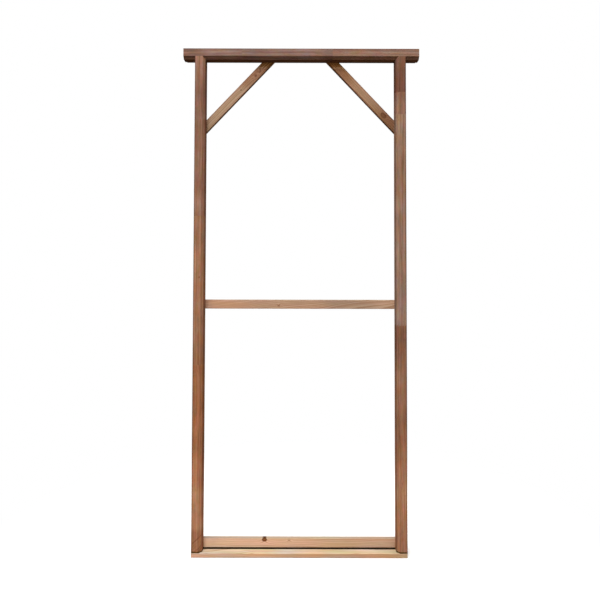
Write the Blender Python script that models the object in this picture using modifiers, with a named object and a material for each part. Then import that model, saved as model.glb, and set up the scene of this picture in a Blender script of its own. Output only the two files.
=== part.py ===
"""Chamfered and rebated hardwood door frame with a softwood sill and its transit laths.

Metres, +Z up. The origin is under the middle of the doorway, half way through its depth.
The chamfered side faces -Y. The door would hang in the rebate on the +Y side.
"""

import math

import bmesh
import bpy

# The door that the frame is made for, and the gaps round it
DOOR_WIDTH = 0.813
DOOR_HEIGHT = 2.032
SIDE_GAP = 0.003
HEAD_GAP = 0.003
FLOOR_GAP = 0.008

# Section of the head and jambs: a wall, a stop in front and a rebate behind
STOP_DEPTH = 0.047
REBATE_DEPTH = 0.047
WALL_THICKNESS = 0.031
REBATE_WIDTH = 0.013

# Chamfer at 45 degrees on the front edge of the stop, and the easing of the other arrises
CHAMFER = 0.0125
ARRIS = 0.001

# Horns of the head, sawn off by eye and trimmed when the frame is built in
LEFT_HORN = 0.049
RIGHT_HORN = 0.056

# Wedged tenon at the top of each jamb
TENON_THICKNESS = 0.030
TENON_SHOULDER = 0.002
WEDGE_ROOM = 0.006
WEDGE_STANDOFF = 0.003

# Sill board, with a groove for the weather strip that stands a little proud of it
SILL_THICKNESS = 0.018
GROOVE_WIDTH = 0.012
GROOVE_DEPTH = 0.007
GROOVE_SETBACK = 0.001
SILL_ARRIS = 0.0015
STRIP_PROUD = 0.002
STRIP_ARRIS = 0.0008

# Transit laths, in the rebate behind the stops
LATH_WIDTH = 0.037
LATH_THICKNESS = 0.019
LATH_ARRIS = 0.0008
LATH_END_GAP = 0.003
SPREADER_HEIGHT = 1.022
BRACE_DROP = 0.273
BRACE_REACH = 0.258

# Round wire nails
NAIL_LENGTH = 0.050
NAIL_RADIUS = 0.0013
NAIL_POINT = 0.004
NAIL_HEAD_RADIUS = 0.0029
NAIL_HEAD_THICKNESS = 0.0011

# Countersunk screws up through the sill
SCREW_LENGTH = 0.060
SCREW_RADIUS = 0.0024
SCREW_POINT = 0.007
SCREW_HEAD_RADIUS = 0.0046
SCREW_HEAD_DEPTH = 0.0030
SCREW_HEAD_RIM = 0.0004
SCREW_HEAD_SINK = 0.0006
SCREW_SPACING = 0.050
RECESS_WIDTH = 0.0011
RECESS_SPAN = 0.0048
RECESS_DEPTH = 0.0022

# Clearance between pieces that meet, and how far a cutter runs past what it cuts
FIT = 0.0003
PAST = 0.002
ROUND_STEPS = 12
SHARP_ANGLE = math.radians(35)

# Derived sizes
SECTION_THICKNESS = WALL_THICKNESS + REBATE_WIDTH
FRONT = -STOP_DEPTH
BACK = REBATE_DEPTH
MIDDLE = (FRONT + BACK) / 2
REBATE_X = DOOR_WIDTH / 2 + SIDE_GAP
STOP_X = REBATE_X - REBATE_WIDTH
OUTER_X = REBATE_X + WALL_THICKNESS
TENON_X = REBATE_X + TENON_SHOULDER
SILL_TOP = SILL_THICKNESS
CEILING_Z = SILL_TOP + FLOOR_GAP + DOOR_HEIGHT + HEAD_GAP
STOP_Z = CEILING_Z - REBATE_WIDTH
TOP_Z = CEILING_Z + WALL_THICKNESS
HEAD_LENGTH = 2 * OUTER_X + LEFT_HORN + RIGHT_HORN
HEAD_X = (RIGHT_HORN - LEFT_HORN) / 2
LATH_FRONT = FIT
LATH_BACK = LATH_FRONT + LATH_THICKNESS
LATH_END_X = REBATE_X - LATH_END_GAP
LATH_TOP_Z = CEILING_Z - LATH_END_GAP
NAIL_X = (STOP_X + LATH_END_X) / 2
NAIL_Z = (STOP_Z + LATH_TOP_Z) / 2
NAIL_SPACING = LATH_WIDTH / 2
SCREW_X = (REBATE_X + OUTER_X) / 2

# Ways to turn an outline drawn in X and Y
UPRIGHT = (0, 0, 0)
FACING_FRONT = (math.pi / 2, 0, 0)
ALONG_X = (math.pi / 2, 0, math.pi / 2)

# Ways to turn a fastener, whose head is at the top of its own Z axis
HALF_STEP = math.pi / ROUND_STEPS
DRIVEN_FROM_BEHIND = (-math.pi / 2, HALF_STEP, 0)
DRIVEN_FROM_BELOW = (math.pi, 0, HALF_STEP)

# Left is -X, seen from the chamfered side
SIDES = (("left", -1), ("right", 1))


def clear_scene():
    for thing in list(bpy.data.objects):
        bpy.data.objects.remove(thing, do_unlink=True)


def new_collection(name):
    group = bpy.data.collections.new(name)
    bpy.context.scene.collection.children.link(group)
    return group


def new_material(name, colour, roughness, metallic=0.0):
    material = bpy.data.materials.new(name)
    material.use_nodes = True
    shader = material.node_tree.nodes["Principled BSDF"]
    shader.inputs["Base Color"].default_value = (*colour, 1.0)
    shader.inputs["Roughness"].default_value = roughness
    shader.inputs["Metallic"].default_value = metallic
    material.diffuse_color = (*colour, 1.0)
    return material


def place(name, mesh, group, material=None, location=(0, 0, 0), rotation=UPRIGHT):
    """Add a mesh as an object; a piece has a material, and a cutter has none."""
    thing = bpy.data.objects.new(name, mesh)
    thing.location = location
    thing.rotation_euler = rotation
    group.objects.link(thing)
    if material is None:
        thing.hide_render = True
        thing.display_type = "WIRE"
    elif not mesh.materials:
        mesh.materials.append(material)
    return thing


def tidy_mesh(mesh):
    """Weld the seams, join flat faces and point every face outwards."""
    shape = bmesh.new()
    shape.from_mesh(mesh)
    bmesh.ops.remove_doubles(shape, verts=shape.verts, dist=1e-6)
    bmesh.ops.dissolve_limit(shape, angle_limit=0.001, verts=shape.verts, edges=shape.edges)
    bmesh.ops.recalc_face_normals(shape, faces=shape.faces)
    shape.to_mesh(mesh)
    shape.free()


def evaluated_mesh(thing):
    bpy.context.view_layer.update()
    graph = bpy.context.evaluated_depsgraph_get()
    return bpy.data.meshes.new_from_object(thing.evaluated_get(graph))


def smooth_round_faces(mesh):
    mesh.shade_smooth()
    mesh.set_sharp_from_angle(angle=SHARP_ANGLE)


def prism(name, outline, thickness, group, material=None, location=(0, 0, 0), rotation=UPRIGHT):
    """A flat outline given a thickness, half on each side of its plane."""
    curve = bpy.data.curves.new(name, "CURVE")
    curve.dimensions = "2D"
    curve.fill_mode = "BOTH"
    curve.extrude = thickness / 2
    spline = curve.splines.new("POLY")
    spline.points.add(len(outline) - 1)
    for point, (x, y) in zip(spline.points, outline):
        point.co = (x, y, 0, 1)
    spline.use_cyclic_u = True
    drawing = bpy.data.objects.new(name + "_outline", curve)
    group.objects.link(drawing)
    mesh = evaluated_mesh(drawing)
    bpy.data.objects.remove(drawing)
    bpy.data.curves.remove(curve)
    tidy_mesh(mesh)
    smooth_round_faces(mesh)
    mesh.name = name
    return place(name, mesh, group, material, location, rotation)


def box(name, low, high, group, material=None):
    shape = bmesh.new()
    bmesh.ops.create_cube(shape, size=1)
    centre = [(a + b) / 2 for a, b in zip(low, high)]
    size = [b - a for a, b in zip(low, high)]
    bmesh.ops.scale(shape, verts=shape.verts, vec=size)
    mesh = bpy.data.meshes.new(name)
    shape.to_mesh(mesh)
    shape.free()
    return place(name, mesh, group, material, centre)


def turned_mesh(name, profile, group):
    """A closed turned shape; the profile runs from the top of the axis down its outer side."""
    mesh = bpy.data.meshes.new(name + "_profile")
    points = [(radius, 0, height) for radius, height in profile]
    edges = [(index, index + 1) for index in range(len(profile) - 1)]
    mesh.from_pydata(points, edges, [])
    blank = place(name + "_blank", mesh, group)
    spin = blank.modifiers.new("Turn", "SCREW")
    spin.steps = ROUND_STEPS
    spin.render_steps = ROUND_STEPS
    spin.use_merge_vertices = True
    spin.merge_threshold = 1e-5
    turned = evaluated_mesh(blank)
    bpy.data.objects.remove(blank)
    smooth_round_faces(turned)
    turned.name = name
    return turned


def ease_edges(thing, width):
    bevel = thing.modifiers.new("Arris", "BEVEL")
    bevel.width = width
    bevel.segments = 1
    bevel.limit_method = "ANGLE"


def cut(thing, cutter):
    boolean = thing.modifiers.new(cutter.name, "BOOLEAN")
    boolean.operation = "DIFFERENCE"
    boolean.solver = "EXACT"
    boolean.object = cutter


def eased_corner(corner, before, after):
    """The two points that take the sharpness off a square corner of an outline."""
    points = []
    for near in (before, after):
        run = math.dist(corner, near)
        points.append(tuple(c + (n - c) * ARRIS / run for c, n in zip(corner, near)))
    return points


def chamfered_section(grown=0.0, eased=True):
    """Outline of the section as (distance in from the outer face, depth) pairs.

    Every face moves outwards by grown, which gives the shape that a scribed shoulder
    is cut to. The arrises of the real timber are eased, and those of a cutter are not.
    """
    slip = grown * math.tan(math.pi / 8)
    outer_front = (-grown, FRONT - grown)
    chamfer_front = (SECTION_THICKNESS - CHAMFER + slip, FRONT - grown)
    chamfer_back = (SECTION_THICKNESS + grown, FRONT + CHAMFER - slip)
    stop_back = (SECTION_THICKNESS + grown, grown)
    rebate_corner = (WALL_THICKNESS + grown, grown)
    wall_back = (WALL_THICKNESS + grown, BACK + grown)
    outer_back = (-grown, BACK + grown)
    if not eased:
        return [outer_front, chamfer_front, chamfer_back, stop_back, rebate_corner, wall_back, outer_back]
    return [
        *eased_corner(outer_front, outer_back, chamfer_front),
        chamfer_front,
        chamfer_back,
        *eased_corner(stop_back, chamfer_back, rebate_corner),
        rebate_corner,
        *eased_corner(wall_back, rebate_corner, outer_back),
        *eased_corner(outer_back, wall_back, outer_front),
    ]


def head_outline(grown=0.0, eased=True):
    """The section hung under the top of the frame, as (depth, height) pairs."""
    return [(depth, TOP_Z - inward) for inward, depth in chamfered_section(grown, eased)]


def make_head(parts, material):
    return prism("head", head_outline(), HEAD_LENGTH, parts, material, (HEAD_X, 0, 0), ALONG_X)


def cut_mortice(head, side_name, side, cutters):
    """A slot through the head that widens towards the top, to take the wedges."""
    inner = TENON_X - FIT
    outer = OUTER_X + FIT
    bottom = STOP_Z - PAST
    top = TOP_Z + PAST
    low = (inner, MIDDLE - TENON_THICKNESS / 2 - FIT, bottom)
    high = (outer, MIDDLE + TENON_THICKNESS / 2 + FIT, top)
    mortice = box("mortice_" + side_name, low, high, cutters)
    mortice.location.x *= side
    spread = 1 + 2 * widening(top) / (outer - inner)
    gather = 1 + 2 * widening(bottom) / (outer - inner)
    for vertex in mortice.data.vertices:
        vertex.co.x *= spread if vertex.co.z > 0 else gather
    cut(head, mortice)


def widening(height):
    """How far each end of a mortice has spread at this height."""
    return WEDGE_ROOM * (height - STOP_Z) / SECTION_THICKNESS


def make_wedges(side_name, side, parts, material):
    """Two wedges that fill the room between the tenon and the sloping mortice ends."""
    tip = CEILING_Z + WEDGE_STANDOFF
    for where, face, outward in (("outer", OUTER_X, 1), ("inner", TENON_X, -1)):
        outline = [
            (side * (face + outward * FIT), tip),
            (side * (face + outward * widening(tip)), tip),
            (side * (face + outward * widening(TOP_Z)), TOP_Z),
            (side * (face + outward * FIT), TOP_Z),
        ]
        name = "wedge_" + side_name + "_" + where
        prism(name, outline, TENON_THICKNESS, parts, material, (0, MIDDLE, 0), FACING_FRONT)


def make_jamb(side_name, side, parts, cutters, material):
    """A length of the section, its top scribed over the head and tenoned through it."""
    foot = SILL_TOP + FIT
    outline = [(side * (OUTER_X - inward), depth) for inward, depth in chamfered_section()]
    middle = (0, 0, (foot + TOP_Z) / 2)
    jamb = prism("jamb_" + side_name, outline, TOP_Z - foot, parts, material, middle)

    waste = prism("scribe_" + side_name, head_outline(FIT, eased=False),
                  SECTION_THICKNESS + 2 * PAST, cutters, rotation=ALONG_X)
    waste.location.x = side * (STOP_X + OUTER_X) / 2
    low = (TENON_X, MIDDLE - TENON_THICKNESS / 2, STOP_Z - PAST)
    high = (OUTER_X + 2 * PAST, MIDDLE + TENON_THICKNESS / 2, TOP_Z + PAST)
    tenon = box("tenon_" + side_name, low, high, cutters)
    tenon.location.x *= side
    cut(waste, tenon)
    cut(jamb, waste)
    return jamb


def make_sill(parts, cutters, material):
    sill = box("sill", (-OUTER_X, FRONT, 0), (OUTER_X, BACK, SILL_THICKNESS), parts, material)
    ease_edges(sill, SILL_ARRIS)
    back = -GROOVE_SETBACK
    low = (-OUTER_X - PAST, back - GROOVE_WIDTH, SILL_TOP - GROOVE_DEPTH)
    high = (OUTER_X + PAST, back, SILL_TOP + PAST)
    cut(sill, box("groove", low, high, cutters))
    return sill


def make_weather_strip(parts, material):
    """A bar that fills the groove between the two stops."""
    end = STOP_X - FIT
    back = -GROOVE_SETBACK - FIT
    low = (-end, back - GROOVE_WIDTH + 2 * FIT, SILL_TOP - GROOVE_DEPTH + FIT)
    high = (end, back, SILL_TOP + STRIP_PROUD)
    strip = box("weather_strip", low, high, parts, material)
    ease_edges(strip, STRIP_ARRIS)
    return strip


def make_spreader(name, bottom, parts, material):
    low = (-LATH_END_X, LATH_FRONT, bottom)
    high = (LATH_END_X, LATH_BACK, bottom + LATH_WIDTH)
    spreader = box(name, low, high, parts, material)
    ease_edges(spreader, LATH_ARRIS)
    return spreader


def brace_height(across, offset=0.0):
    """Height of a line along a brace, this far above its centreline, at a place across."""
    slope = BRACE_DROP / BRACE_REACH
    return STOP_Z - BRACE_DROP + offset * math.hypot(1, slope) - slope * (across - STOP_X)


def brace_across(height, offset=0.0):
    """Distance from the middle of the same line at a given height."""
    slope = BRACE_DROP / BRACE_REACH
    return STOP_X + (brace_height(STOP_X, offset) - height) / slope


def make_brace(side_name, side, parts, material):
    outline = [
        (side * LATH_END_X, brace_height(LATH_END_X, -LATH_WIDTH / 2)),
        (side * LATH_END_X, brace_height(LATH_END_X, LATH_WIDTH / 2)),
        (side * brace_across(LATH_TOP_Z, LATH_WIDTH / 2), LATH_TOP_Z),
        (side * brace_across(LATH_TOP_Z, -LATH_WIDTH / 2), LATH_TOP_Z),
    ]
    middle = (0, (LATH_FRONT + LATH_BACK) / 2, 0)
    brace = prism("brace_" + side_name, outline, LATH_THICKNESS, parts, material, middle, FACING_FRONT)
    ease_edges(brace, LATH_ARRIS)
    return brace


def nail_profile(grown=0.0):
    """A nail whose head bears on the plane of its own origin."""
    seat = FIT
    tip = seat + NAIL_HEAD_THICKNESS - NAIL_LENGTH
    return [
        (0, seat + NAIL_HEAD_THICKNESS),
        (NAIL_HEAD_RADIUS, seat + NAIL_HEAD_THICKNESS),
        (NAIL_HEAD_RADIUS, seat),
        (NAIL_RADIUS + grown, seat),
        (NAIL_RADIUS + grown, tip + NAIL_POINT - grown),
        (0, tip - grown),
    ]


def screw_profile(grown=0.0):
    """A countersunk screw whose head lies just below the plane of its own origin."""
    rim = -SCREW_HEAD_SINK
    tip = rim - SCREW_LENGTH
    top = PAST if grown else rim
    return [
        (0, top),
        (SCREW_HEAD_RADIUS + grown, top),
        (SCREW_HEAD_RADIUS + grown, rim - SCREW_HEAD_RIM),
        (SCREW_RADIUS + grown, rim - SCREW_HEAD_DEPTH),
        (SCREW_RADIUS + grown, tip + SCREW_POINT - grown),
        (0, tip - grown),
    ]


def screw_mesh(cutters):
    """The turned screw with a cross recess cut in its head."""
    screw = place("screw_uncut", turned_mesh("screw_plain", screw_profile(), cutters), cutters)
    bars = []
    for turn, run, across in (("long", RECESS_SPAN, RECESS_WIDTH), ("cross", RECESS_WIDTH, RECESS_SPAN)):
        low = (-run / 2, -across / 2, -SCREW_HEAD_SINK - RECESS_DEPTH)
        high = (run / 2, across / 2, PAST)
        bars.append(box("recess_" + turn, low, high, cutters))
        cut(screw, bars[-1])
    mesh = evaluated_mesh(screw)
    for thing in (screw, *bars):
        bpy.data.objects.remove(thing)
    mesh.name = "screw"
    return mesh


def drive(name, fastener, hole, location, rotation, pieces, parts, cutters, material):
    """Set a fastener in place and cut the hole that it fills in each piece it goes through."""
    place(name, fastener, parts, material, location, rotation)
    bore = place("hole_" + name, hole, cutters, None, location, rotation)
    for piece in pieces:
        cut(piece, bore)


def nail_lath(lath, ends, nail, hole, parts, cutters, material):
    """Two nails at each end of a lath, from behind, into the stop in front of it."""
    for end_name, carrier, spots in ends:
        for number, (x, z) in enumerate(spots, 1):
            name = "nail_" + lath.name + "_" + end_name + "_" + str(number)
            drive(name, nail, hole, (x, LATH_BACK, z), DRIVEN_FROM_BEHIND,
                  (lath, carrier), parts, cutters, material)


def main():
    clear_scene()
    parts = new_collection("wooden_door_frame")
    cutters = new_collection("cutters")

    head = make_head(parts, new_material("head_hardwood", (0.30, 0.17, 0.12), 0.55))
    jambs = {}
    for side_name, side in SIDES:
        timber = new_material("jamb_" + side_name + "_hardwood", (0.32, 0.165, 0.10), 0.55)
        jambs[side_name] = make_jamb(side_name, side, parts, cutters, timber)
        cut_mortice(head, side_name, side, cutters)
    wedge_timber = new_material("wedge_hardwood", (0.26, 0.14, 0.09), 0.6)
    for side_name, side in SIDES:
        make_wedges(side_name, side, parts, wedge_timber)
    sill = make_sill(parts, cutters, new_material("sill_softwood", (0.62, 0.38, 0.23), 0.6))
    make_weather_strip(parts, new_material("strip_rubber", (0.025, 0.020, 0.014), 0.7))

    lath_timber = new_material("lath_softwood", (0.50, 0.30, 0.18), 0.65)
    middle = make_spreader("spreader_middle", SPREADER_HEIGHT - LATH_WIDTH / 2, parts, lath_timber)
    bottom = make_spreader("spreader_bottom", SILL_TOP + FIT, parts, lath_timber)

    steel = new_material("nail_steel", (0.42, 0.42, 0.43), 0.4, 1.0)
    zinc = new_material("screw_zinc", (0.58, 0.56, 0.48), 0.35, 1.0)
    nail = turned_mesh("nail", nail_profile(), cutters)
    nail_hole = turned_mesh("nail_hole", nail_profile(FIT), cutters)
    half = NAIL_SPACING / 2
    for lath, centre in ((middle, SPREADER_HEIGHT), (bottom, SILL_TOP + FIT + LATH_WIDTH / 2)):
        ends = []
        for side_name, side in SIDES:
            spots = [(side * NAIL_X, centre - half), (side * NAIL_X, centre + half)]
            ends.append((side_name, jambs[side_name], spots))
        nail_lath(lath, ends, nail, nail_hole, parts, cutters, steel)
    for side_name, side in SIDES:
        brace = make_brace(side_name, side, parts, lath_timber)
        low = brace_height(NAIL_X)
        across = brace_across(NAIL_Z)
        at_jamb = [(side * NAIL_X, low - half), (side * NAIL_X, low + half)]
        at_head = [(side * (across - half), NAIL_Z), (side * (across + half), NAIL_Z)]
        ends = [("jamb", jambs[side_name], at_jamb), ("head", head, at_head)]
        nail_lath(brace, ends, nail, nail_hole, parts, cutters, steel)

    screw = screw_mesh(cutters)
    screw_hole = turned_mesh("screw_hole", screw_profile(FIT), cutters)
    for side_name, side in SIDES:
        for where, toward in (("front", -1), ("back", 1)):
            spot = (side * SCREW_X, MIDDLE + toward * SCREW_SPACING / 2, 0)
            drive("screw_" + side_name + "_" + where, screw, screw_hole, spot, DRIVEN_FROM_BELOW,
                  (sill, jambs[side_name]), parts, cutters, zinc)


main()
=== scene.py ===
"""Looks of the wooden door frame: its timber, nails and screws, a pale floor and soft light.

Metres, +Z up. The chamfered side faces -Y, and left is -X, seen from that side.
"""

import math

import bmesh
import bpy
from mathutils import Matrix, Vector, noise


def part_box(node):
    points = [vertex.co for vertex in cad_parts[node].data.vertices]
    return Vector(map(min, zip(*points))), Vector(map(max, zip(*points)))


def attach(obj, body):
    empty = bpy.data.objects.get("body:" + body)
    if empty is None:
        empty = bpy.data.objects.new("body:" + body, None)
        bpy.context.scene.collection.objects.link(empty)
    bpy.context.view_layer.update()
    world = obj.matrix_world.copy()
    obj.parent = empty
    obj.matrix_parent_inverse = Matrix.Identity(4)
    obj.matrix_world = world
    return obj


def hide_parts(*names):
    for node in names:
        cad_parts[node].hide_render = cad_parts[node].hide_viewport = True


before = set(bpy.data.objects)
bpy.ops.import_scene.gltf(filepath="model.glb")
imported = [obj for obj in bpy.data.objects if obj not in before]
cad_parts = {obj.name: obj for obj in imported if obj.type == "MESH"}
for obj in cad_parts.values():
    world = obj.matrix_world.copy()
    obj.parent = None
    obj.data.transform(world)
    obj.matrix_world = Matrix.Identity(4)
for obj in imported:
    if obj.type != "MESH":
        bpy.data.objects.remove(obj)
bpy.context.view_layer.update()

# Places taken from the frame
HEAD_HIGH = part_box("head")[1]
SILL_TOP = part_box("sill")[1].z
SPREADER_LOW, SPREADER_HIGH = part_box("spreader_middle")
BRACE_LOW, BRACE_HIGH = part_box("brace_left")
JAMB_LOW, JAMB_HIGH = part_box("jamb_right")
HALF_JAMB = (JAMB_HIGH.x - JAMB_LOW.x) / 2
LATH_WIDTH = SPREADER_HIGH.z - SPREADER_LOW.z

# Grain directions, as the angle that the length of a piece leans from upright towards +X.
# A brace's lower edge runs from corner to corner of its box.
UPRIGHT = 0.0
LEVEL = math.radians(90)
BRACE_LEAN = math.atan2(BRACE_HIGH.x - BRACE_LOW.x, BRACE_HIGH.z - BRACE_LOW.z)

# Working values for the meshes
WELD = 0.00001
FLAT_ANGLE = math.radians(0.5)
SMOOTH_ANGLE = math.radians(40)
ARRIS_ANGLES = (math.radians(30), math.radians(60))
LONG_EDGE = 0.02
TIMBER_ROUND = 0.0004
LATH_ROUND = 0.0003
ARRIS_SEGMENTS = 2
RIM_ROUND = 0.0003
RIM_SEGMENTS = 3

# The wander of a saw cut: the step between its bends, its reach, its waves per metre, and how
# far apart each edge and each lath lie in the noise
SAW_STEP = 0.02
SAW_WANDER = 0.00022
SAW_WAVES = 9.0
EDGE_APART = 3.0
LATH_APART = 5.0

# Between these lie most values of a noise texture
NOISE_LOW = 0.3
NOISE_HIGH = 0.7

# Camera, fitted to the photograph's edges
CAMERA_PLACE = (0.0, -2.446, 1.250)
CAMERA_TILT = math.radians(1.874)
CAMERA_ROLL = math.radians(-0.136)
SENSOR = 36.0
IMAGE_SIZE = 600
FOCAL_PIXELS = 580.3
MIDDLE_ROW = 231.1

# Light
LAMP_PLACE = (-0.9, -3.8, 5.1)
LAMP_AIM = (0, 0, 1.1)
LAMP_SIZE = 2.0
LAMP_POWER = 185.0
SKY_STRENGTH = 2.35
SKY_LEFTWARD = 0.28
HORIZON = 0.62
WARMTH_FALL = 1.6
GROUND_STRENGTH = 0.30
GROUND_TONE = (1.0, 0.54, 0.20)
WHITE = (1.0, 1.0, 1.0)

# Floor
FLOOR_SIZE = 120.0
FLOOR_TONE = (0.80, 0.80, 0.80)
FLOOR_BOUNCE = (0.054, 0.034, 0.018)
BACKDROP_START = 0.5
BACKDROP_FULL = 1.4


# Shader sums

class Wire:
    """An output socket, so that sums on it can be written as Python expressions."""

    def __init__(self, recipe, socket):
        self.recipe = recipe
        self.socket = socket

    def sum(self, operation, first, second=0.0):
        return self.recipe.node("ShaderNodeMath", {"operation": operation}, {0: first, 1: second})

    def __add__(self, other):
        return self.sum("ADD", self, other)

    def __radd__(self, other):
        return self.sum("ADD", other, self)

    def __sub__(self, other):
        return self.sum("SUBTRACT", self, other)

    def __rsub__(self, other):
        return self.sum("SUBTRACT", other, self)

    def __mul__(self, other):
        return self.sum("MULTIPLY", self, other)

    def __rmul__(self, other):
        return self.sum("MULTIPLY", other, self)

    def __truediv__(self, other):
        return self.sum("DIVIDE", self, other)

    def __rtruediv__(self, other):
        return self.sum("DIVIDE", other, self)

    def __pow__(self, power):
        return self.sum("POWER", self, power)

    def __rpow__(self, base):
        return self.sum("POWER", base, self)

    def __abs__(self):
        return self.sum("ABSOLUTE", self)

    def __gt__(self, other):
        return self.sum("GREATER_THAN", self, other)

    def __lt__(self, other):
        return self.sum("LESS_THAN", self, other)

    def root(self):
        return self.sum("SQRT", self)

    def exponential(self):
        return self.sum("EXPONENT", self)

    def sine(self):
        return self.sum("SINE", self)

    def fraction(self):
        return self.sum("FRACT", self)

    def larger(self, other):
        return self.sum("MAXIMUM", self, other)


class Recipe:
    """One material's node tree."""

    def __init__(self, name):
        self.material = bpy.data.materials.new(name)
        self.take_tree(self.material)

    def take_tree(self, owner):
        owner.use_nodes = True
        self.tree = owner.node_tree
        self.tree.nodes.clear()

    def node(self, kind, settings=None, sockets=None, output=0):
        """Add a node, make its settings, then fill its sockets with values or links."""
        made = self.tree.nodes.new(kind)
        for name, value in (settings or {}).items():
            setattr(made, name, value)
        for key, value in (sockets or {}).items():
            if isinstance(value, Wire):
                self.tree.links.new(value.socket, made.inputs[key])
            else:
                made.inputs[key].default_value = value
        return Wire(self, made.outputs[output]) if made.outputs else made

    def mix(self, factor, first, second, blend_type="MIX"):
        """A blend of two colours."""
        settings = {"data_type": "RGBA", "blend_type": blend_type}
        sockets = {0: factor, 6: as_colour(first), 7: as_colour(second)}
        return self.node("ShaderNodeMix", settings, sockets, output=2)

    def stain(self, colour, factor, tone):
        """A colour multiplied by a tone where the factor is 1, and left alone where it is 0."""
        return self.mix(factor, colour, tone, "MULTIPLY")

    def shade(self, colour, texture, tones, least=0.0, most=1.0):
        """A colour multiplied by a blend of two tones, which a texture chooses."""
        blend = self.mix(self.spread(texture, least, most), *tones)
        return self.mix(1.0, colour, blend, "MULTIPLY")

    def step(self, value, low, high):
        """0 at low, 1 at high, with a smooth change between them."""
        sockets = {"Value": value, "From Min": low, "From Max": high}
        return self.node("ShaderNodeMapRange", {"interpolation_type": "SMOOTHSTEP"}, sockets)

    def spread(self, value, low, high):
        """A texture's middle range of values, stretched to run from low to high."""
        sockets = {"Value": value, "From Min": NOISE_LOW, "From Max": NOISE_HIGH,
                   "To Min": low, "To Max": high}
        return self.node("ShaderNodeMapRange", {}, sockets)

    def vector(self, x, y, z):
        return self.node("ShaderNodeCombineXYZ", {}, {0: x, 1: y, 2: z})

    def cloud(self, place, scale, detail=2.0, roughness=0.5):
        """Noise with so many changes per metre in each of three directions."""
        stretched = self.node("ShaderNodeVectorMath", {"operation": "MULTIPLY"},
                              {0: place, 1: scale})
        sockets = {"Vector": stretched, "Scale": 1.0, "Detail": detail, "Roughness": roughness}
        return self.node("ShaderNodeTexNoise", {}, sockets)

    def own_place(self):
        """Object coordinates, which are places in the frame."""
        return self.node("ShaderNodeTexCoord", {}, {}, output="Object")

    def grain_space(self, centre, lean):
        """The place measured from a piece's centre, with Z turned to run along its grain."""
        sockets = {"Vector": self.own_place(), "Location": centre, "Rotation": (0, lean, 0)}
        return self.node("ShaderNodeMapping", {"vector_type": "TEXTURE"}, sockets)

    def parts_of(self, place):
        """The three numbers of a vector."""
        split = self.node("ShaderNodeSeparateXYZ", {}, {0: place})
        outputs = split.socket.node.outputs
        return [Wire(self, outputs[axis]) for axis in "XYZ"]

    def height(self):
        """Height above the floor."""
        return self.parts_of(self.own_place())[2]

    def facing(self, way):
        """How far a face turns towards a direction, from -1 to 1."""
        normal = self.node("ShaderNodeNewGeometry", {}, {}, output="Normal")
        return self.node("ShaderNodeVectorMath", {"operation": "DOT_PRODUCT"}, {0: normal, 1: way},
                         output="Value")

    def end_grain(self, lean):
        """1 on faces that cross the grain, 0 on those along it."""
        along = (math.sin(lean), 0, math.cos(lean))
        return self.step(abs(self.facing(along)), *CROSS_GRAIN)

    def relief(self, height, depth):
        sockets = {"Height": height, "Strength": 1.0, "Distance": depth}
        return self.node("ShaderNodeBump", {}, sockets)

    def finish(self, colour, roughness, normal, constants):
        sockets = {"Base Color": colour, "Roughness": roughness, "Normal": normal, **constants}
        shader = self.node("ShaderNodeBsdfPrincipled", {}, sockets)
        self.node("ShaderNodeOutputMaterial", {}, {"Surface": shader})
        return self.material


class WorldRecipe(Recipe):
    """The world's node tree."""

    def __init__(self, name):
        self.world = bpy.data.worlds.new(name)
        self.take_tree(self.world)


def as_colour(value):
    """A mix socket wants four numbers, and a tone is written as three."""
    if isinstance(value, Wire) or len(value) == 4:
        return value
    return (*value, 1.0)


def distance(sideways, other):
    return (sideways ** 2.0 + other ** 2.0).root()


# Finishes

NO_SHINE = {"Specular IOR Level": 0.0}

# How squarely a face has to face a way to start counting, and to count in full
CROSS_GRAIN = (0.6, 0.8)
FACING_UP = (0.4, 0.9)

# The ends of two slow drifts in hue, from green to red and from blue to yellow
RED_DRIFT = ((0.905, 1.05, 1.05), (1.10, 0.95, 0.95))
YELLOW_DRIFT = ((1.0, 1.0, 1.20), (1.0, 1.0, 0.83))

# A knot's width as a share of its length
KNOT_SHAPE = 0.7

# The hardwood's patterns, in changes per metre across, in depth and along the grain
HARD_WANDER = (3.0, 3.0, 2.2)
HARD_PATCHES = (12.0, 12.0, 7.0)
HARD_RIBBON = (130.0, 130.0, 2.4)
HARD_LINES = (360.0, 360.0, 4.0)
HARD_FIBRE = (900.0, 900.0, 14.0)
HARD_PORES = (2100.0, 2100.0, 75.0)
HARD_REDNESS = (85.0, 85.0, 26.0)
HARD_YELLOWNESS = (75.0, 75.0, 22.0)
SLANTING_STREAKS = (18.0, 20.0, 95.0)

# The values of a pattern at which a mark starts to show and is full
LINE_RANGE = (0.54, 0.70)
PORE_RANGE = (0.60, 0.72)
STREAK_RANGE = (0.50, 0.64)

# What those patterns, single marks and cut ends multiply its tone by
HARD_PATCH_TONES = ((0.84, 0.80, 0.78), (1.14, 1.18, 1.22))
HARD_RIBBON_TONES = ((0.80, 0.74, 0.70), (1.24, 1.26, 1.28))
HARD_FIBRE_TONES = ((0.86, 0.84, 0.82), (1.12, 1.12, 1.12))
HARD_LINE = (0.796, 0.736, 0.700)
HARD_PORE = (0.615, 0.560, 0.5325)
HARD_END_GRAIN = (0.507, 0.439, 0.405)
STREAK = (0.68, 0.60, 0.56)
PALER = (1.22, 1.35, 1.44)
DARKER = (0.80, 0.80, 0.80)
# Painted shade along arrises
ARRIS_PAINTED_SHADE = (0.62, 0.60, 0.62)
PIN_KNOT = (0.62, 0.50, 0.30)

# How far fibres wander across and in depth, and how far each length's grain is moved on
WANDER_ACROSS = 0.03
WANDER_DEEP = 0.02
NEXT_LENGTH = 1.7

# How many of its sizes away a pin knot starts to show and is full, and how uneven it is
PIN_KNOT_EDGE = (1.5, 0.6)
PIN_KNOT_WANDER = 0.003

# The share of an arris's line of painted shade that is fully dark
ARRIS_CORE = 0.4

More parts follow.
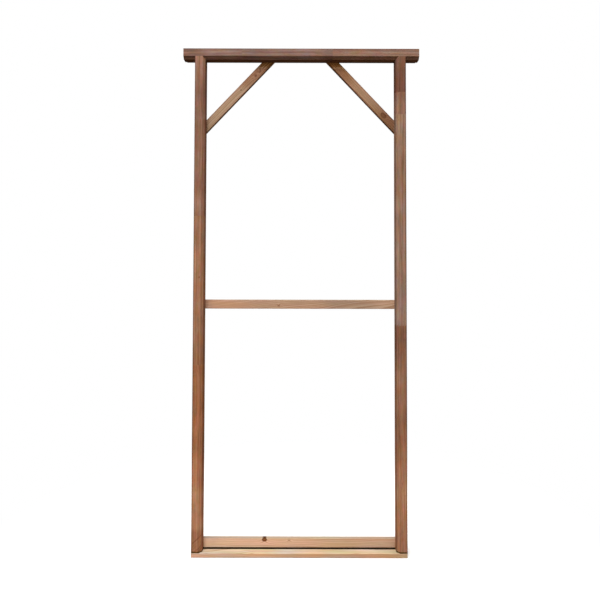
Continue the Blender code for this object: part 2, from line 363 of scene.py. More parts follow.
# Finger joints between the lengths that the hardwood is glued up from
FINGER_PITCH = 0.0075
FINGER_LENGTH = 0.010

# The slope of the streaks over the left foot, and how far their upper limit fades
STREAK_SLOPE = 0.9
STREAK_FADE = 0.04

# How much a band's edge follows the grain
RAGGED = 0.0008

HARD_ROUGHNESS = 0.66
HARD_RELIEF = 0.00025


def tone_of_lengths(recipe, place, lengths, stretches, seed):
    """The tone of each length between its finger joints, and a number of its own for each."""
    _, deep, along = place
    # Fingers cut across the depth show as a zigzag on the sides and a straight line in front
    zigzag = abs((deep / FINGER_PITCH).fraction() - 0.5) * (2 * FINGER_LENGTH)
    tone = lengths[0][2]
    shift = seed
    for start, end, first_tone, last_tone in lengths:
        past = (along + zigzag) > start + FINGER_LENGTH / 2
        length_tone = recipe.mix(recipe.step(along, start, end), first_tone, last_tone)
        tone = recipe.mix(past, tone, length_tone)
        shift = past * NEXT_LENGTH + shift
    for middle, reach, strength in stretches:
        shown = recipe.step(abs(along - middle), reach, 0.0) * abs(strength)
        tone = recipe.stain(tone, shown, PALER if strength > 0 else DARKER)
    return tone, shift


def with_streaks(recipe, colour, place, height, top):
    """Streaks that slant over the grain, below a top."""
    across, deep, along = place
    slanting = recipe.vector(across, deep, along - across * STREAK_SLOPE)
    streaks = recipe.step(recipe.cloud(slanting, SLANTING_STREAKS, detail=1.0), *STREAK_RANGE)
    shown = recipe.step(height - across * STREAK_SLOPE, top, top - STREAK_FADE)
    return recipe.stain(colour, streaks * shown, STREAK)


def with_pin_knot(recipe, colour, place, wander, knot):
    across, _, along = place
    knot_along, knot_across, size = knot
    start, full = PIN_KNOT_EDGE
    away = distance(across - knot_across, (along - knot_along) * KNOT_SHAPE)
    shown = recipe.step(away + wander * PIN_KNOT_WANDER, size * start, size * full)
    return recipe.stain(colour, shown, PIN_KNOT)


# Painted shade along an arris, darkest at its line
def with_shaded_arris(recipe, colour, place, arris):
    across, deep, _ = place
    arris_across, arris_deep, reach, deepening = arris
    away = distance(across - arris_across, (deep - arris_deep) / deepening)
    return recipe.stain(colour, recipe.step(away, reach, reach * ARRIS_CORE), ARRIS_PAINTED_SHADE)


def hardwood(name, centre, lean, lengths, seed, bands=(), stretches=(), arrises=(),
             streaks_top=None, pin_knots=()):
    """Open-grained red hardwood, glued up end to end from lengths that differ in tone.

    Each entry of lengths is where a length starts and ends along the grain, measured from
    the centre, and its tone at the start and at the end. Each band is the height at which
    it starts, the height at which it is full, and the tone that it multiplies by. A stretch
    is its middle along the grain, its reach, and how much paler or darker it is. Each shaded
    arris is painted shade: its place across and in depth, how far its dark line reaches,
    and how many times further it reaches in depth. Below streaks_top, streaks slant over
    the grain. A pin knot is its place along and across, and its size.
    """
    recipe = Recipe(name)
    place = recipe.parts_of(recipe.grain_space(centre, lean))
    across, deep, along = place
    height = recipe.height()
    tone, shift = tone_of_lengths(recipe, place, lengths, stretches, seed)

    # Fibres wander slowly, and each length has its own
    wander = recipe.cloud(recipe.vector(across + shift, deep, along), HARD_WANDER, detail=1.0)
    bent = recipe.vector(across + shift + wander * WANDER_ACROSS, deep + wander * WANDER_DEEP,
                         along)
    ribbon = recipe.cloud(bent, HARD_RIBBON)
    fibre = recipe.cloud(bent, HARD_FIBRE, detail=3.0, roughness=0.6)
    lines = recipe.step(recipe.cloud(bent, HARD_LINES), *LINE_RANGE)
    pores = recipe.step(recipe.cloud(bent, HARD_PORES, detail=1.0), *PORE_RANGE)
    yellowness = recipe.cloud(recipe.vector(across, deep + shift, along), HARD_YELLOWNESS)

    colour = recipe.shade(tone, recipe.cloud(bent, HARD_PATCHES), HARD_PATCH_TONES)
    colour = recipe.shade(colour, ribbon, HARD_RIBBON_TONES)
    colour = recipe.stain(colour, lines, HARD_LINE)
    colour = recipe.shade(colour, fibre, HARD_FIBRE_TONES)
    colour = recipe.shade(colour, recipe.cloud(bent, HARD_REDNESS), RED_DRIFT)
    colour = recipe.shade(colour, yellowness, YELLOW_DRIFT)
    colour = recipe.stain(colour, pores, HARD_PORE)
    colour = recipe.stain(colour, recipe.end_grain(lean), HARD_END_GRAIN)

    if streaks_top:
        colour = with_streaks(recipe, colour, place, height, streaks_top)
    for knot in pin_knots:
        colour = with_pin_knot(recipe, colour, place, wander, knot)
    for arris in arrises:
        colour = with_shaded_arris(recipe, colour, place, arris)
    for start, full, band_tone in bands:
        ragged = height + recipe.spread(ribbon, -RAGGED, RAGGED)
        colour = recipe.stain(colour, recipe.step(ragged, start, full), band_tone)

    roughness = HARD_ROUGHNESS + fibre * 0.12 + pores * 0.1
    relief = recipe.relief(fibre * 0.4 + ribbon * 0.2 - pores * 0.8, HARD_RELIEF)
    return recipe.finish(colour, roughness, relief, NO_SHINE)


# The softwood's patterns, in changes per metre across, in depth and along the grain
SOFT_BEND = (6.0, 6.0, 3.4)
SOFT_FIBRE = (1300.0, 1300.0, 22.0)
SOFT_PATCHES = (30.0, 30.0, 7.0)
SOFT_REDNESS = (42.0, 42.0, 5.0)
SOFT_YELLOWNESS = (48.0, 48.0, 6.0)
UNEVEN_RINGS = (90.0, 1.0, 0.05)

# What they, knots, ends and painted shade along edges multiply its tone by
SOFT_PATCH_TONES = ((0.92, 0.90, 0.88), (1.07, 1.08, 1.09))
SOFT_FIBRE_TONES = ((0.92, 0.90, 0.88), (1.07, 1.07, 1.07))
SOFT_END_GRAIN = (0.81, 0.76, 0.71)
KNOT_HEART = (0.34, 0.20, 0.11)
KNOT_RIM = (0.26, 0.14, 0.08)
EDGE_PAINTED_SHADE = (0.66, 0.61, 0.57)

# How far the rings sway, and how much of it knots, saw teeth and changes of tone follow
SWAY = 0.006
KNOT_SWAY = 0.2
TEETH_SWAY = 0.9
DRIFT_SWAY = 3.0

# How uneven the rings are, in rings, the part of a ring over which the latewood darkens and
# the part where it ends, and how strong it is from patch to patch
UNEVENNESS = 0.8
LATEWOOD_RISE = (0.35, 0.88)
LATEWOOD_FALL = (1.0, 0.90)
LATEWOOD_STRENGTH = (0.45, 0.95)

# In sizes of a knot: how far it pushes the rings and out to where, how far from its middle
# its heart starts to show and is full, and how wide its rim is to each side
KNOT_PUSH = 1.3
KNOT_PUSH_REACH = 1.9
KNOT_EDGE = (1.15, 0.75)
KNOT_RIM_REACH = 0.45

# How far painted shade reaches in from an edge, and the distance between saw marks
EDGE_SHADE_REACH = 0.005
SAW_TEETH = 0.0023

SOFT_ROUGHNESS = 0.74
SOFT_RELIEF = 0.0002


def knots_in(recipe, place, sway, knots):
    """How far knots push the rings aside, and where their hearts and their rims lie."""
    across, _, along = place
    bulge = heart = rim = 0.0
    for knot_along, knot_across, size, strength in knots:
        away = distance(across - knot_across, (along - knot_along) * KNOT_SHAPE)
        hump = ((away / (size * KNOT_PUSH_REACH)) ** 2.0 * -1.0).exponential()
        bulge = hump * (size * KNOT_PUSH) + bulge
        away = away + sway * KNOT_SWAY
        start, full = KNOT_EDGE
        inside = recipe.step(away, size * start, size * full)
        edge = recipe.step(abs(away - size), size * KNOT_RIM_REACH, 0.0)
        heart = inside * strength + heart
        rim = edge * strength + rim
    return bulge, heart, rim


def latewood_in(recipe, place, sway, bulge, pith, tilt, ring, seed):
    """The dark part of each ring round the pith."""
    across, deep, along = place
    sideways = across - pith[0] - along * tilt[0] + sway
    inward = deep - pith[1] - along * tilt[1]
    radius = distance(sideways, inward) + bulge
    uneven = recipe.cloud(recipe.vector(radius, seed, along), UNEVEN_RINGS, detail=1.0)
    rings = (radius / ring + recipe.spread(uneven, -UNEVENNESS, UNEVENNESS)).fraction()
    return recipe.step(rings, *LATEWOOD_RISE) * recipe.step(rings, *LATEWOOD_FALL)


def tone_between_rings(recipe, along, sway, early, drift, sheltered, painted_upward_tone):
    """The tone along a piece, with painted light under the head and on the faces that look up."""
    tone = early
    for start, full, shade in drift:
        tone = recipe.mix(recipe.step(along + sway * DRIFT_SWAY, start, full), tone, shade)
    # Painted light: paler high on the braces, to lift the shade under the head
    if sheltered:
        start, full, paler = sheltered
        tone = recipe.stain(tone, recipe.step(recipe.height(), start, full), paler)
    # Painted light: faces that look up take a tone of their own, for the light that falls on them
    upward = recipe.step(recipe.facing((0, 0, 1)), *FACING_UP)
    return recipe.mix(upward, tone, painted_upward_tone)


def softwood(name, centre, lean, pith, tilt, ring, early, late, drift, painted_upward_tone, seed, knots=(),
             sawn=0.0, motley=0.5, sheltered=None, shaded_edges=()):
    """Pale softwood cut from round a pith, so that its rings run through every face.

    pith is where the middle of the tree lay, across and in depth from the centre of the
    piece, and tilt is how far that line leans for each metre along. ring is the distance
    between rings, early and late what is between them and in them. Each entry of drift is
    where a tone starts to show along the grain, where it has taken over, and the tone.
    painted_upward_tone is painted light, the tone of the faces that look up. A knot is its
    place along and across, its size and how dark it is. sawn is how deep saw marks are, and
    motley how much the hue varies. sheltered is painted light that lifts the shade
    under the head: the height at which the tone starts to be paler, the height above which
    it is, and the tone that it multiplies by. shaded_edges are the places across of edges
    with painted shade along them.
    """
    recipe = Recipe(name)
    place = recipe.parts_of(recipe.grain_space(centre, lean))
    across, deep, along = place
    bend = recipe.cloud(recipe.vector(across + seed, deep, along), SOFT_BEND)
    sway = recipe.spread(bend, -SWAY, SWAY)
    bulge, heart, rim = knots_in(recipe, place, sway, knots)
    latewood = latewood_in(recipe, place, sway, bulge, pith, tilt, ring, seed)

    moved_along = recipe.vector(across, deep, along + seed)
    fibre = recipe.cloud(moved_along, SOFT_FIBRE, roughness=0.6)
    patches = recipe.cloud(recipe.vector(across, deep + seed, along), SOFT_PATCHES)
    redness = recipe.cloud(moved_along, SOFT_REDNESS)
    yellowness = recipe.cloud(recipe.vector(across + seed, deep, along), SOFT_YELLOWNESS)

    colour = tone_between_rings(recipe, along, sway, early, drift, sheltered, painted_upward_tone)
    least, most = 0.5 - motley / 2, 0.5 + motley / 2
    colour = recipe.shade(colour, redness, RED_DRIFT, least, most)
    colour = recipe.shade(colour, yellowness, YELLOW_DRIFT, least, most)
    # Painted shade along the long edges of the braces
    for edge in shaded_edges:
        near = recipe.step(abs(across - edge), EDGE_SHADE_REACH, EDGE_SHADE_REACH / 3)
        colour = recipe.stain(colour, near, EDGE_PAINTED_SHADE)
    colour = recipe.stain(colour, latewood * recipe.spread(patches, *LATEWOOD_STRENGTH), late)
    colour = recipe.shade(colour, patches, SOFT_PATCH_TONES)
    colour = recipe.shade(colour, fibre, SOFT_FIBRE_TONES)
    if knots:
        colour = recipe.stain(colour, heart, KNOT_HEART)
        colour = recipe.stain(colour, rim, KNOT_RIM)
    colour = recipe.stain(colour, recipe.end_grain(lean), SOFT_END_GRAIN)

    teeth = ((along + sway * TEETH_SWAY) * (2 * math.pi / SAW_TEETH)).sine()
    teeth = teeth * recipe.spread(patches, 0.0, sawn)
    roughness = SOFT_ROUGHNESS - latewood * 0.12 + fibre * 0.1
    relief = recipe.relief(fibre * 0.4 + latewood * 0.3 + teeth, SOFT_RELIEF)
    return recipe.finish(colour, roughness, relief, NO_SHINE)


# The weather strip's near-black tone, which makes the dark line along the sill in front of
# the bottom spreader, and the dust in its pits
STRIP_NEAR_BLACK = (0.014, 0.010, 0.006)
RUBBER_DUST = (0.0246, 0.0190, 0.0129)
DUSTY_PATCHES = (60.0, 300.0, 300.0)
DUST_RANGE = (0.50, 0.80)
RUBBER_GRIT = (1500.0, 1500.0, 1500.0)
RUBBER_ROUGHNESS = 0.7

# Each metal's own tone and that of its dull spots
BRIGHT_WIRE = ((0.50, 0.50, 0.51), (0.22, 0.17, 0.13))
ZINC = ((0.66, 0.64, 0.56), (0.46, 0.42, 0.33))
DULL_SPOTS = (600.0, 600.0, 600.0)
DULL_RANGE = (0.52, 0.75)
DRAWN_METAL = (2500.0, 2500.0, 2500.0)

# The distance between the ridges on nail heads
WAFFLE_PITCH = 0.0011
SLIGHT_RELIEF = 0.0001


def rubber(name):
    """Dull rubber with dust in its pits."""
    recipe = Recipe(name)
    place = recipe.own_place()
    dust = recipe.cloud(place, DUSTY_PATCHES, detail=3.0)
    grit = recipe.cloud(place, RUBBER_GRIT)
    colour = recipe.mix(recipe.step(dust, *DUST_RANGE), STRIP_NEAR_BLACK, RUBBER_DUST)
    roughness = RUBBER_ROUGHNESS + grit * 0.2
    return recipe.finish(colour, roughness, recipe.relief(grit, SLIGHT_RELIEF), NO_SHINE)


def metal(name, tones, roughness, waffle=0.0):
    """Wire or plated steel, a little dulled, with a waffle pressed into nail heads."""
    recipe = Recipe(name)
    place = recipe.own_place()
    dull = recipe.cloud(place, DULL_SPOTS, detail=3.0)
    drawn = recipe.cloud(place, DRAWN_METAL)
    colour = recipe.mix(recipe.step(dull, *DULL_RANGE), *tones)
    x, _, z = recipe.parts_of(place)
    turn = 2 * math.pi / WAFFLE_PITCH
    pressed = (x * turn).sine() * (z * turn).sine()
    relief = recipe.relief(drawn * 0.4 + pressed * waffle, SLIGHT_RELIEF)
    return recipe.finish(colour, roughness + dull * 0.25, relief, {"Metallic": 1.0})


# Meshes

def take_up(piece):
    """Select one piece and nothing else."""
    bpy.ops.object.select_all(action="DESELECT")
    piece.select_set(True)
    bpy.context.view_layer.objects.active = piece


def whole_copy(node, name):
    """A welded copy of a node, with each flat face in one piece again."""
    piece = bpy.data.objects.new(name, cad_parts[node].data.copy())
    bpy.context.scene.collection.objects.link(piece)
    take_up(piece)
    bpy.ops.mesh.customdata_custom_splitnormals_clear()
    bpy.ops.object.mode_set(mode="EDIT")
    bpy.ops.mesh.select_all(action="SELECT")
    bpy.ops.mesh.remove_doubles(threshold=WELD)
    bpy.ops.mesh.dissolve_limited(angle_limit=FLAT_ANGLE)
    bpy.ops.object.mode_set(mode="OBJECT")
    return piece


def round_edges(piece, chosen, offset, segments):
    """Round the edges of a piece that a test chooses."""
    take_up(piece)
    bpy.ops.object.mode_set(mode="EDIT")
    bpy.ops.mesh.select_mode(type="EDGE")
    bpy.ops.mesh.select_all(action="DESELECT")
    shape = bmesh.from_edit_mesh(piece.data)
    for edge in shape.edges:
        edge.select_set(chosen(edge))
    bmesh.update_edit_mesh(piece.data)
    bpy.ops.mesh.bevel(offset=offset, segments=segments, profile=0.5, affect="EDGES")
    bpy.ops.object.mode_set(mode="OBJECT")


def flat_arris(edge):
    """Whether an edge borders a flat eased arris, which meets its faces at about 45 degrees."""
    low, high = ARRIS_ANGLES
    return edge.calc_length() > LONG_EDGE and low < edge.calc_face_angle(0.0) < high


def smooth_rounds(piece):
    """Shade the rounds smooth, with the flat faces kept flat."""
    take_up(piece)
    bpy.ops.object.shade_smooth_by_angle(angle=SMOOTH_ANGLE)
    weighting = piece.modifiers.new("flat_faces", "WEIGHTED_NORMAL")
    weighting.keep_sharp = True
    bpy.ops.object.modifier_apply(modifier=weighting.name)


def directions_of(lean):
    """The directions along and across a piece."""
    return Vector((math.sin(lean), 0, math.cos(lean))), Vector((math.cos(lean), 0, -math.sin(lean)))


def edges_across(node, lean, centre):
    """Where the two long edges of a lath lie across it, measured from a centre."""
    _, width_way = directions_of(lean)
    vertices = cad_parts[node].data.vertices
    places = [(vertex.co - centre) @ width_way for vertex in vertices]
    return min(places), max(places)


def saw_unevenly(piece, lean, centre, middle_line):
    """Give a lath's long edges the slight wander of a saw cut."""
    length_way, width_way = directions_of(lean)
    take_up(piece)
    reach = max(abs((vertex.co - centre) @ length_way) for vertex in piece.data.vertices)
    cuts = int(2 * reach / SAW_STEP)
    bpy.ops.object.mode_set(mode="EDIT")
    for number in range(1, cuts):
        spot = centre + length_way * (2 * reach * number / cuts - reach)
        bpy.ops.mesh.select_all(action="SELECT")
        bpy.ops.mesh.bisect(plane_co=spot, plane_no=length_way)
    bpy.ops.object.mode_set(mode="OBJECT")
    for vertex in piece.data.vertices:
        away = vertex.co - centre
        along = away @ length_way
        across = away @ width_way - middle_line
        side = 1.0 if across > 0 else -1.0
        row = (along * SAW_WAVES, side * EDGE_APART, centre.z * LATH_APART)
        wave = noise.noise(Vector(row))
        vertex.co += width_way * (wave * SAW_WANDER * 2 * abs(across) / LATH_WIDTH)


def dress(piece, material, node):
    piece.data.materials.clear()
    piece.data.materials.append(material)
    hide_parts(node)
    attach(piece, "root")


def replace_material(node, material):
    """A better finish on a solid that stays."""
    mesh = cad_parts[node].data
    mesh.materials.clear()
    mesh.materials.append(material)


def middle_of(node):
    low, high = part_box(node)
    return (low + high) / 2


# Hardwood pieces

# The tones are the reflectance of each length of timber at its start and at its end
HEAD_LEFT = ((0.243, 0.154, 0.119), (0.240, 0.158, 0.129))
HEAD_MIDDLE = ((0.267, 0.178, 0.147), (0.282, 0.184, 0.155))
HEAD_RIGHT = ((0.298, 0.191, 0.142), (0.300, 0.198, 0.150))
LEFT_FOOT = ((0.427, 0.204, 0.106), (0.339, 0.153, 0.072))
LEFT_LOWER = ((0.320, 0.162, 0.090), (0.353, 0.192, 0.114))
LEFT_UPPER = ((0.273, 0.148, 0.096), (0.265, 0.146, 0.096))
LEFT_TOP = ((0.240, 0.134, 0.092), (0.286, 0.162, 0.111))
RIGHT_FOOT = ((0.436, 0.231, 0.129), (0.237, 0.124, 0.076))
RIGHT_MIDDLE = ((0.260, 0.171, 0.126), (0.277, 0.171, 0.113))
RIGHT_UPPER = ((0.220, 0.122, 0.080), (0.214, 0.116, 0.075))
RIGHT_TOP = ((0.154, 0.071, 0.044), (0.180, 0.100, 0.066))
WEDGE_TONE = (0.245, 0.120, 0.078)

# Where each length starts: heights on the jambs, and places across on the head
HEAD_LENGTHS = ((-0.5, HEAD_LEFT), (-0.245, HEAD_MIDDLE), (0.135, HEAD_RIGHT))
LEFT_LENGTHS = ((0.0, LEFT_FOOT), (0.777, LEFT_LOWER), (1.391, LEFT_UPPER), (1.794, LEFT_TOP))
RIGHT_LENGTHS = ((0.0, RIGHT_FOOT), (0.939, RIGHT_MIDDLE), (1.817, RIGHT_UPPER),
                 (1.910, RIGHT_TOP))

# Paler and darker stretches: their middles, measured in the same way, their reach and strength
HEAD_STRETCHES = ((-0.19, 0.09, -0.8), (0.01, 0.14, 0.45), (0.165, 0.10, -0.55))
LEFT_STRETCHES = ((0.46, 0.10, -1.0), (0.70, 0.07, 1.0), (0.92, 0.16, 0.95), (1.305, 0.11, -0.9),
                  (1.435, 0.05, 0.5), (1.525, 0.08, -0.6), (1.90, 0.06, -0.8))
RIGHT_STRETCHES = ((0.26, 0.10, 0.85), (0.547, 0.06, -0.8), (0.735, 0.20, 0.95),
                   (0.985, 0.08, 0.85), (1.435, 0.06, 0.6), (1.655, 0.08, 0.5),
                   (1.80, 0.12, 0.95))

# Bands: the head's dark top arris, a darker olive band at the foot of each jamb, a pale
# heart low in the left jamb, and the dark butts of both
BAND_EDGE = 0.0015
ARRIS_DEPTH = 0.0035
ARRIS_START = HEAD_HIGH.z - ARRIS_DEPTH
ARRIS_BAND = (ARRIS_START, ARRIS_START + BAND_EDGE, (0.36, 0.22, 0.20))
FOOT_BAND_HEIGHT = 0.007
FOOT_BAND_TOP = SILL_TOP + FOOT_BAND_HEIGHT
DARK_FOOT_BAND = (FOOT_BAND_TOP, FOOT_BAND_TOP - BAND_EDGE, (0.33, 0.38, 0.22))
PALE_HEART = (0.30, 0.245, (1.22, 1.40, 1.52))
LEFT_BUTT = (0.125, 0.095, (0.75, 0.67, 0.64))
RIGHT_BUTT = (0.20, 0.06, (0.80, 0.77, 0.81))

# Painted shade on the jambs, along the outer arris and, behind the chamfer, along the front
# of the reveal: the place in depth, the reach, and how many times further in depth
CHAMFER = 0.0125
OUTER_ARRIS_SHADE = (JAMB_LOW.y, 0.006, 1.0)
REVEAL_FRONT_SHADE = (JAMB_LOW.y + CHAMFER, 0.005, 6.0)

# Marks on the left jamb
STREAKS_TOP = 0.105
PIN_KNOT_HEIGHT = 1.137
PIN_KNOT_ACROSS = 0.003
PIN_KNOT_SIZE = 0.004


def hardwood_member(node, lean, lengths, finish, stretches, seed, **looks):
    """Dress the head or a jamb, whose lengths run on to the finish of the last one."""
    centre = middle_of(node)
    middle = centre.x if lean == LEVEL else centre.z
    starts = [start - middle for start, tones in lengths]
    ends = [*starts[1:], finish - middle]
    spans = [(start, end, *tones) for start, end, (_, tones) in zip(starts, ends, lengths)]
    shifted = [(place - middle, reach, strength) for place, reach, strength in stretches]
    material = hardwood(node + "_timber", centre, lean, spans, seed, stretches=shifted, **looks)
    piece = whole_copy(node, node + "_timber")
    round_edges(piece, flat_arris, TIMBER_ROUND, ARRIS_SEGMENTS)
    smooth_rounds(piece)
    dress(piece, material, node)


def make_head():
    hardwood_member("head", LEVEL, HEAD_LENGTHS, HEAD_HIGH.x, HEAD_STRETCHES, seed=0.3,
                    bands=[ARRIS_BAND])


def make_jambs():
    knot_along = PIN_KNOT_HEIGHT - middle_of("jamb_left").z
    hardwood_member("jamb_left", UPRIGHT, LEFT_LENGTHS, JAMB_HIGH.z, LEFT_STRETCHES, seed=5.1,
                    bands=[PALE_HEART, LEFT_BUTT, DARK_FOOT_BAND],
                    arrises=[(-HALF_JAMB, *OUTER_ARRIS_SHADE), (HALF_JAMB, *REVEAL_FRONT_SHADE)],
                    streaks_top=STREAKS_TOP,
                    pin_knots=[(knot_along, PIN_KNOT_ACROSS, PIN_KNOT_SIZE)])
    hardwood_member("jamb_right", UPRIGHT, RIGHT_LENGTHS, JAMB_HIGH.z, RIGHT_STRETCHES, seed=9.4,
                    bands=[RIGHT_BUTT, DARK_FOOT_BAND],
                    arrises=[(HALF_JAMB, *OUTER_ARRIS_SHADE), (-HALF_JAMB, *REVEAL_FRONT_SHADE)])


def make_wedges():
    for side in ("left", "right"):
        for where in ("outer", "inner"):
            node = "wedge_" + side + "_" + where
            low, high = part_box(node)
            reach = (high.z - low.z) / 2
            spans = [(-reach, reach, WEDGE_TONE, WEDGE_TONE)]
            replace_material(node, hardwood(node, middle_of(node), UPRIGHT, spans, seed=2.2))


# Softwood pieces

# Tones of the sill, the painted light on faces that look up, and what the latewood
# multiplies a tone by
CREAM = (0.775, 0.503, 0.338)
CREAM_RIGHT = (0.580, 0.394, 0.245)
SILL_UPWARD_PAINTED_TONE = (0.47, 0.37, 0.262)
LATH_UPWARD_PAINTED_TONE = (0.34, 0.29, 0.22)
LATEWOOD = (0.66, 0.50, 0.38)
DARK_LATEWOOD = (0.55, 0.42, 0.33)

# How each lath's tone changes along it; on the braces, the browner top is painted shade
MIDDLE_DRIFT = ((-0.392, -0.372, (0.575, 0.366, 0.252)), (-0.35, -0.1, (0.482, 0.327, 0.231)),
                (0.05, 0.15, (0.414, 0.294, 0.210)), (0.27, 0.36, (0.52, 0.367, 0.257)))
BOTTOM_DRIFT = ((-0.395, -0.355, (0.750, 0.550, 0.396)), (-0.25, 0.3, (0.61, 0.425, 0.292)))
LEFT_BRACE_PAINTED_SHADE = ((0.02, 0.07, (0.345, 0.207, 0.130)),)
RIGHT_BRACE_TONE_AND_SHADE = ((-0.16, 0.0, (0.40, 0.250, 0.154)), (0.05, 0.13, (0.305, 0.17, 0.090)))

# Knots: their place across the doorway, their height, their size and how dark they are
MIDDLE_KNOTS = ((-0.0885, 1.0153, 0.004, 0.3),)
BOTTOM_KNOTS = ((-0.1446, 0.050, 0.0066, 1.0), (-0.0425, 0.050, 0.004, 0.22))
LEFT_KNOTS = ((-0.172, 2.009, 0.004, 0.4), (-0.189, 1.990, 0.004, 0.35),
              (-0.2526, 1.9292, 0.003, 0.5))
RIGHT_KNOTS = ((0.353, 1.822, 0.009, 0.5),)

# How deep the laths' saw marks are, as a share of the relief
SAWN = 0.22

# Painted light: the top ends of the braces are paler, to lift the shade of the head above
LEFT_PAINTED_LIGHT_TOP = (2.018, 2.036, (2.4, 3.3, 3.4))
RIGHT_PAINTED_LIGHT_TOP = (2.016, 2.034, (2.7, 3.6, 3.8))


def lath(node, lean, knots, edge_shaded=False, **looks):
    """Dress a lath, with knots given by their places in the frame."""
    centre = middle_of(node)
    length_way, width_way = directions_of(lean)
    placed = []
    for x, z, size, strength in knots:
        away = Vector((x, centre.y, z)) - centre
        placed.append((away @ length_way, away @ width_way, size, strength))
    edges = edges_across(node, lean, centre)
    material = softwood(node + "_timber", centre, lean, knots=placed, sawn=SAWN,
                        painted_upward_tone=LATH_UPWARD_PAINTED_TONE, shaded_edges=edges if edge_shaded else (), **looks)
    piece = whole_copy(node, node + "_timber")
    round_edges(piece, flat_arris, LATH_ROUND, ARRIS_SEGMENTS)
    saw_unevenly(piece, lean, centre, sum(edges) / 2)
    smooth_rounds(piece)
    dress(piece, material, node)


def make_spreaders():
    lath("spreader_middle", LEVEL, MIDDLE_KNOTS, seed=4.0,
         pith=(0.048, 0.045), tilt=(-0.10, -0.015), ring=0.0038,
         early=(0.520, 0.345, 0.250), late=LATEWOOD, drift=MIDDLE_DRIFT)
    lath("spreader_bottom", LEVEL, BOTTOM_KNOTS, seed=8.0,
         pith=(-0.045, 0.035), tilt=(0.03, 0.02), ring=0.0036,
         early=(0.860, 0.635, 0.450), late=LATEWOOD, drift=BOTTOM_DRIFT)


def make_braces():
    lath("brace_left", BRACE_LEAN, LEFT_KNOTS, edge_shaded=True, seed=12.0,
         pith=(0.010, 0.045), tilt=(0.01, 0.02), ring=0.0036,
         early=(0.424, 0.296, 0.209), late=DARK_LATEWOOD, drift=LEFT_BRACE_PAINTED_SHADE,
         sheltered=LEFT_PAINTED_LIGHT_TOP)
    lath("brace_right", -BRACE_LEAN, RIGHT_KNOTS, edge_shaded=True, seed=16.0,
         pith=(-0.024, 0.04), tilt=(0.02, 0.02), ring=0.0036,
         early=(0.235, 0.125, 0.069), late=DARK_LATEWOOD, drift=RIGHT_BRACE_TONE_AND_SHADE,
         sheltered=RIGHT_PAINTED_LIGHT_TOP)


def make_sill():
    material = softwood("sill_timber", middle_of("sill"), LEVEL, seed=20.0,
                        pith=(0.10, 0.01), tilt=(0.004, 0.01), ring=0.0040,
                        early=CREAM, late=LATEWOOD, drift=[(-0.3, 0.3, CREAM_RIGHT)],
                        painted_upward_tone=SILL_UPWARD_PAINTED_TONE, motley=1.2)
    piece = whole_copy("sill", "sill_timber")
    round_edges(piece, flat_arris, LATH_ROUND, ARRIS_SEGMENTS)
    smooth_rounds(piece)
    dress(piece, material, "sill")


# Small pieces

def finish_strip():
    replace_material("weather_strip", rubber("weather_strip"))


def make_nails():
    bright_wire = metal("bright_wire", BRIGHT_WIRE, roughness=0.28, waffle=0.6)
    for node in [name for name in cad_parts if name.startswith("nail_")]:
        piece = whole_copy(node, node + "_wire")
        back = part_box(node)[1].y
        round_edges(piece, lambda edge: all(end.co.y > back - WELD for end in edge.verts),
                    RIM_ROUND, RIM_SEGMENTS)
        smooth_rounds(piece)
        dress(piece, bright_wire, node)


def finish_screws():
    zinc = metal("zinc_plate", ZINC, roughness=0.25)
    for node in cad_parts:
        if node.startswith("screw_"):
            replace_material(node, zinc)


# Stage

def seen_directly(recipe):
    """1 for rays from the eye, a mirror or a window, which see the backdrop, and 0 for others."""
    seen = recipe.node("ShaderNodeLightPath", {}, {}, output="Is Camera Ray")
    rays = seen.socket.node.outputs
    for kind in ("Is Glossy Ray", "Is Transmission Ray"):
        seen = seen.larger(Wire(recipe, rays[kind]))
    return seen


def make_floor():
    """A pale floor that keeps the shadow and turns white away from the frame.

    It looks white, but throws little light back up.
    """
    bpy.ops.mesh.primitive_plane_add(size=FLOOR_SIZE)
    floor = bpy.context.active_object
    floor.name = "floor"
    recipe = Recipe("pale_floor")
    seen = seen_directly(recipe)
    colour = recipe.mix(seen, FLOOR_BOUNCE, FLOOR_TONE)
    lit = recipe.node("ShaderNodeBsdfDiffuse", {}, {"Color": colour})
    white = recipe.node("ShaderNodeEmission", {}, {"Color": as_colour(WHITE), "Strength": 1.0})
    x, y, _ = recipe.parts_of(recipe.own_place())
    backdrop = seen * recipe.step(distance(x, y), BACKDROP_START, BACKDROP_FULL)
    surface = recipe.node("ShaderNodeMixShader", {}, {0: backdrop, 1: lit, 2: white})
    recipe.node("ShaderNodeOutputMaterial", {}, {"Surface": surface})
    floor.data.materials.append(recipe.material)


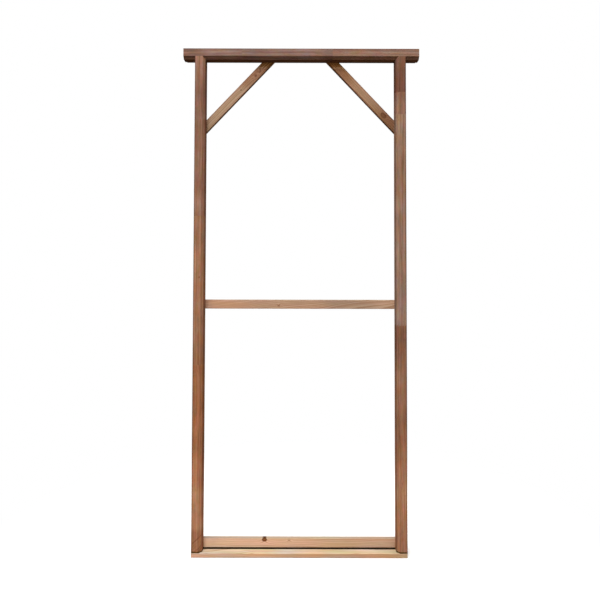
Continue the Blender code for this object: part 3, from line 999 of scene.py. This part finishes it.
def make_sky():
    """An overcast sky, a little brighter on the left, and a white backdrop.

    It is three times as bright overhead as at the horizon, before the ground's warm light
    takes over low down.
    """
    recipe = WorldRecipe("soft_sky")
    way = recipe.node("ShaderNodeTexCoord", {}, {}, output="Generated")
    right, _, up = recipe.parts_of(way)
    round_about = 1.0 - right * SKY_LEFTWARD
    overcast = (up * 2.0 + 1.0) / 3.0 * round_about * SKY_STRENGTH
    above = recipe.step(up, 0.0, HORIZON)
    level = above * (overcast - GROUND_STRENGTH) + GROUND_STRENGTH
    seen = seen_directly(recipe)
    strength = level + seen * (1.0 - level)
    colour = recipe.mix((above ** WARMTH_FALL).larger(seen), GROUND_TONE, WHITE)
    light = recipe.node("ShaderNodeBackground", {}, {"Color": colour, "Strength": strength})
    recipe.node("ShaderNodeOutputWorld", {}, {"Surface": light})
    bpy.context.scene.world = recipe.world


def make_lamp():
    """A large soft lamp, high in front and a little to the left."""
    lamp = bpy.data.lights.new("key", "AREA")
    lamp.shape = "SQUARE"
    lamp.size = LAMP_SIZE
    lamp.energy = LAMP_POWER
    holder = bpy.data.objects.new("key", lamp)
    bpy.context.scene.collection.objects.link(holder)
    holder.location = LAMP_PLACE
    beam = Vector(LAMP_AIM) - Vector(LAMP_PLACE)
    holder.rotation_euler = beam.to_track_quat("-Z", "Y").to_euler()


def make_camera():
    lens = bpy.data.cameras.new("camera")
    lens.sensor_width = SENSOR
    lens.lens = FOCAL_PIXELS / IMAGE_SIZE * SENSOR
    lens.shift_y = (MIDDLE_ROW - IMAGE_SIZE / 2) / IMAGE_SIZE
    camera = bpy.data.objects.new("camera", lens)
    bpy.context.scene.collection.objects.link(camera)
    camera.location = CAMERA_PLACE
    camera.rotation_euler = (math.pi / 2 + CAMERA_TILT, CAMERA_ROLL, 0)
    bpy.context.scene.camera = camera


make_head()
make_jambs()
make_wedges()
make_spreaders()
make_braces()
make_sill()
finish_strip()
make_nails()
finish_screws()
make_floor()
make_sky()
make_lamp()
make_camera()
bpy.context.scene.view_settings.view_transform = "Standard"
